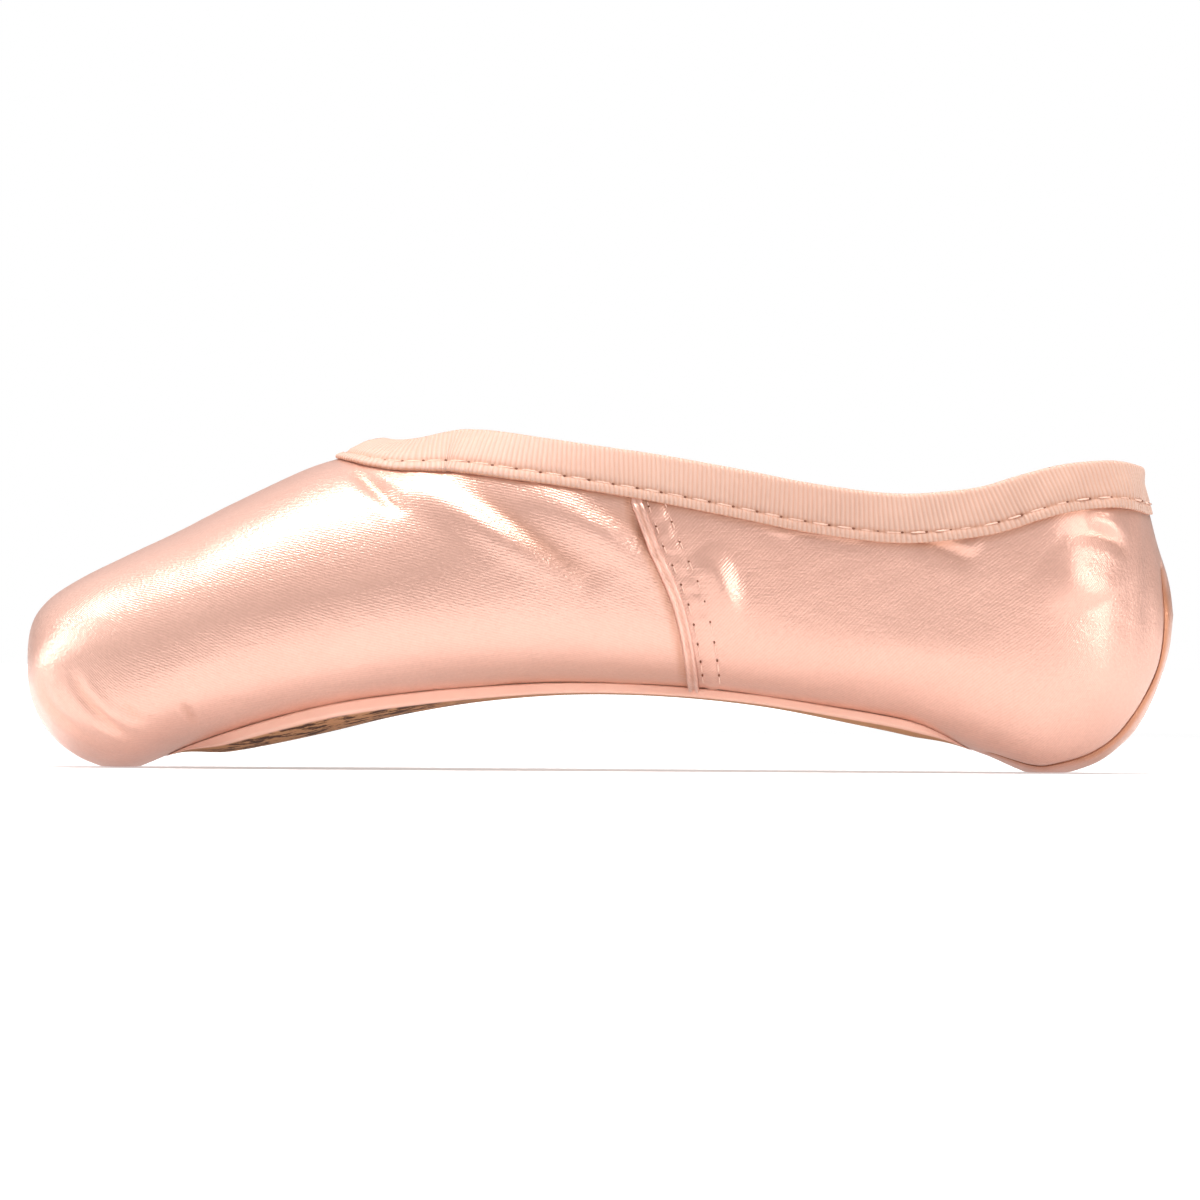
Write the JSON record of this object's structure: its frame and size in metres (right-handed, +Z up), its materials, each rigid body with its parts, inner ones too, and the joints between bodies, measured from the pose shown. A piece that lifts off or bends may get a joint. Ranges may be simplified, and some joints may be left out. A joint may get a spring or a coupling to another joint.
{
  "type": "pointe shoe",
  "caption": "Empty ballet pointe shoe: blocked toe box, deep oval collar with ribbed tape binding, side seams, raised arch and slim leather outsole.",
  "frame": {"origin": "centre of the length and width, on the floor the shoe stands on", "axes": "+X towards the toe, +Y towards the wearer's left, +Z up"},
  "size_m": [0.2351, 0.078, 0.0697],
  "materials": {
    "satin": "glossy pale pink satin with a lengthwise sheen",
    "sole_leather": "suede underside with a pink dyed edge and dark scuffs",
    "sock": "matt cream cotton",
    "binding_tape": "ribbed peach tape, half matt",
    "seam_satin": "satin folded into a ridge"
  },
  "bodies": {
    "root": {"upper": "satin", "outsole": "sole_leather", "insole": "sock", "binding": "binding_tape", "side_seam_left": "seam_satin", "side_seam_right": "seam_satin"}
  },
  "joints": []
}
